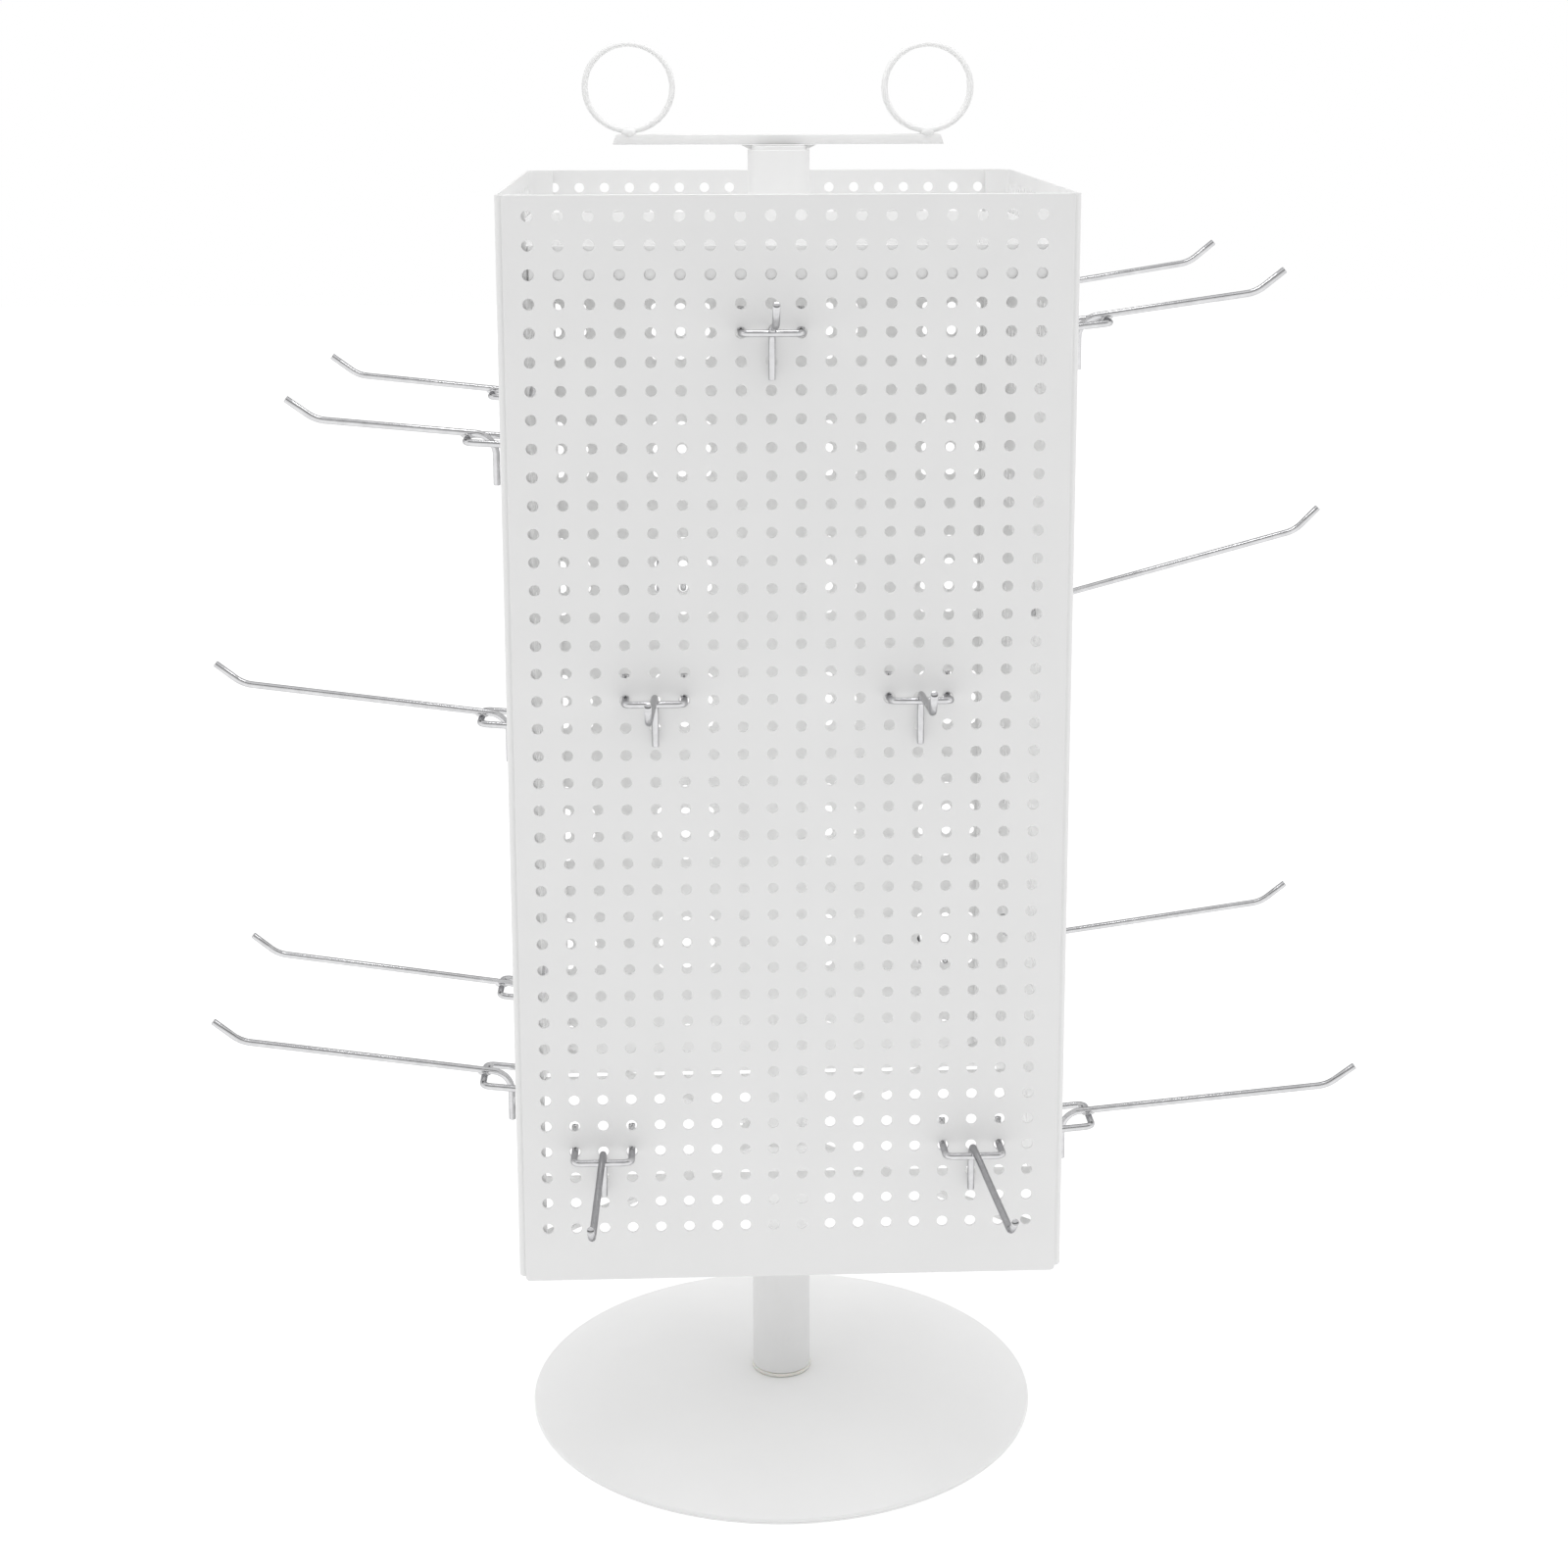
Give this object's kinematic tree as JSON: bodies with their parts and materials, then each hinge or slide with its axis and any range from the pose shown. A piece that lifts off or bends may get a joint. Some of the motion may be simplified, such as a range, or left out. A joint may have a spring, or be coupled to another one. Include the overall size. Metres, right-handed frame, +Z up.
{
  "type": "pegboard display stand",
  "caption": "Countertop display stand with a turning square tower of perforated panels on a round domed base, with wire pegboard hooks and a sign holder on top.",
  "frame": {"origin": "on the counter under the middle of the round base, on the axis that the tower turns about", "axes": "+Z up along the pole, the front panel faces -Y, +X is to the right of someone facing the front panel"},
  "size_m": [0.5208, 0.5211, 0.6734],
  "materials": {
    "powder_coat_white": "satin white powder coat",
    "base_coat_white": "semi-gloss white powder coat",
    "chrome_wire": "bright plated wire",
    "zinc_plate": "zinc plate",
    "bare_steel": "oiled bare steel",
    "nylon": "natural nylon",
    "foot_rubber": "matt black"
  },
  "bodies": {
    "base": {"base_shell": "base_coat_white", "base_weight": "bare_steel", "rubber_foot_1": "foot_rubber", "rubber_foot_2": "foot_rubber", "rubber_foot_3": "foot_rubber", "rubber_foot_4": "foot_rubber", "base_washer": "zinc_plate", "base_bolt": "zinc_plate", "pole_nut": "zinc_plate", "pole": "zinc_plate", "lower_bush": "nylon", "top_bearing": "nylon"},
    "tower": {"sleeve": "powder_coat_white", "thrust_cap": "zinc_plate", "front_panel": "powder_coat_white", "back_panel": "powder_coat_white", "left_panel": "powder_coat_white", "right_panel": "powder_coat_white", "top_plate": "powder_coat_white", "lower_spider": "powder_coat_white", "cross_strap_front": "powder_coat_white", "cross_strap_rear": "powder_coat_white", "sign_plug": "powder_coat_white", "sign_bar": "powder_coat_white", "sign_ring_left": "powder_coat_white", "sign_ring_right": "powder_coat_white"},
    "hook_front_top": {"hook_front_top": "chrome_wire"},
    "hook_front_middle_left": {"hook_front_middle_left": "chrome_wire"},
    "hook_front_middle_right": {"hook_front_middle_right": "chrome_wire"},
    "hook_front_low_left": {"hook_front_low_left": "chrome_wire"},
    "hook_front_low_right": {"hook_front_low_right": "chrome_wire"},
    "hook_left_top_near": {"hook_left_top_near": "chrome_wire"},
    "hook_left_top_far": {"hook_left_top_far": "chrome_wire"},
    "hook_left_middle": {"hook_left_middle": "chrome_wire"},
    "hook_left_low_near": {"hook_left_low_near": "chrome_wire"},
    "hook_left_low_far": {"hook_left_low_far": "chrome_wire"},
    "hook_right_top_near": {"hook_right_top_near": "chrome_wire"},
    "hook_right_top_far": {"hook_right_top_far": "chrome_wire"},
    "hook_right_middle": {"hook_right_middle": "chrome_wire"},
    "hook_right_low_near": {"hook_right_low_near": "chrome_wire"},
    "hook_right_low_far": {"hook_right_low_far": "chrome_wire"},
    "hook_back_top": {"hook_back_top": "chrome_wire"},
    "hook_back_middle_left": {"hook_back_middle_left": "chrome_wire"},
    "hook_back_middle_right": {"hook_back_middle_right": "chrome_wire"},
    "hook_back_low_left": {"hook_back_low_left": "chrome_wire"},
    "hook_back_low_right": {"hook_back_low_right": "chrome_wire"}
  },
  "joints": [
    {"name": "tower_spin", "type": "hinge", "parent": "base", "child": "tower", "pos_m": [0, 0, 0], "axis": [0, 0, 1], "continuous": true},
    {"name": "front_top_tilt", "type": "hinge", "parent": "tower", "child": "hook_front_top", "pos_m": [-0.00785, -0.1225, 0.55233], "axis": [-1, 0, 0], "range_deg": [0, 30]},
    {"name": "front_middle_left_tilt", "type": "hinge", "parent": "tower", "child": "hook_front_middle_left", "pos_m": [-0.05865, -0.1225, 0.39351], "axis": [-1, 0, 0], "range_deg": [0, 30]},
    {"name": "front_middle_right_tilt", "type": "hinge", "parent": "tower", "child": "hook_front_middle_right", "pos_m": [0.05565, -0.1225, 0.39351], "axis": [-1, 0, 0], "range_deg": [0, 30]},
    {"name": "front_low_left_tilt", "type": "hinge", "parent": "tower", "child": "hook_front_low_left", "pos_m": [-0.08405, -0.1225, 0.18582], "axis": [-1, 0, 0], "range_deg": [0, 30]},
    {"name": "front_low_right_tilt", "type": "hinge", "parent": "tower", "child": "hook_front_low_right", "pos_m": [0.08105, -0.1225, 0.18582], "axis": [-1, 0, 0], "range_deg": [0, 30]},
    {"name": "left_top_near_tilt", "type": "hinge", "parent": "tower", "child": "hook_left_top_near", "pos_m": [-0.1225, -0.09525, 0.50346], "axis": [0, 1, 0], "range_deg": [0, 30]},
    {"name": "left_top_far_tilt", "type": "hinge", "parent": "tower", "child": "hook_left_top_far", "pos_m": [-0.1225, 0.05715, 0.50346], "axis": [0, 1, 0], "range_deg": [0, 30]},
    {"name": "left_middle_tilt", "type": "hinge", "parent": "tower", "child": "hook_left_middle", "pos_m": [-0.1225, -0.05715, 0.36908], "axis": [0, 1, 0], "range_deg": [0, 30]},
    {"name": "left_low_near_tilt", "type": "hinge", "parent": "tower", "child": "hook_left_low_near", "pos_m": [-0.1225, -0.09525, 0.21026], "axis": [0, 1, 0], "range_deg": [0, 30]},
    {"name": "left_low_far_tilt", "type": "hinge", "parent": "tower", "child": "hook_left_low_far", "pos_m": [-0.1225, 0.01905, 0.21026], "axis": [0, 1, 0], "range_deg": [0, 30]},
    {"name": "right_top_near_tilt", "type": "hinge", "parent": "tower", "child": "hook_right_top_near", "pos_m": [0.1225, -0.09525, 0.55233], "axis": [0, -1, 0], "range_deg": [0, 30]},
    {"name": "right_top_far_tilt", "type": "hinge", "parent": "tower", "child": "hook_right_top_far", "pos_m": [0.1225, 0.05715, 0.55233], "axis": [0, -1, 0], "range_deg": [0, 30]},
    {"name": "right_middle_tilt", "type": "hinge", "parent": "tower", "child": "hook_right_middle", "pos_m": [0.1225, 0.00635, 0.40573], "axis": [0, -1, 0], "range_deg": [0, 22]},
    {"name": "right_low_near_tilt", "type": "hinge", "parent": "tower", "child": "hook_right_low_near", "pos_m": [0.1225, -0.09525, 0.18582], "axis": [0, -1, 0], "range_deg": [0, 30]},
    {"name": "right_low_far_tilt", "type": "hinge", "parent": "tower", "child": "hook_right_low_far", "pos_m": [0.1225, 0.04445, 0.22247], "axis": [0, -1, 0], "range_deg": [0, 30]},
    {"name": "back_top_tilt", "type": "hinge", "parent": "tower", "child": "hook_back_top", "pos_m": [-0.00785, 0.1225, 0.55233], "axis": [1, 0, 0], "range_deg": [0, 30]},
    {"name": "back_middle_left_tilt", "type": "hinge", "parent": "tower", "child": "hook_back_middle_left", "pos_m": [-0.05865, 0.1225, 0.39351], "axis": [1, 0, 0], "range_deg": [0, 30]},
    {"name": "back_middle_right_tilt", "type": "hinge", "parent": "tower", "child": "hook_back_middle_right", "pos_m": [0.05565, 0.1225, 0.39351], "axis": [1, 0, 0], "range_deg": [0, 30]},
    {"name": "back_low_left_tilt", "type": "hinge", "parent": "tower", "child": "hook_back_low_left", "pos_m": [-0.08405, 0.1225, 0.18582], "axis": [1, 0, 0], "range_deg": [0, 30]},
    {"name": "back_low_right_tilt", "type": "hinge", "parent": "tower", "child": "hook_back_low_right", "pos_m": [0.08105, 0.1225, 0.18582], "axis": [1, 0, 0], "range_deg": [0, 30]}
  ]
}
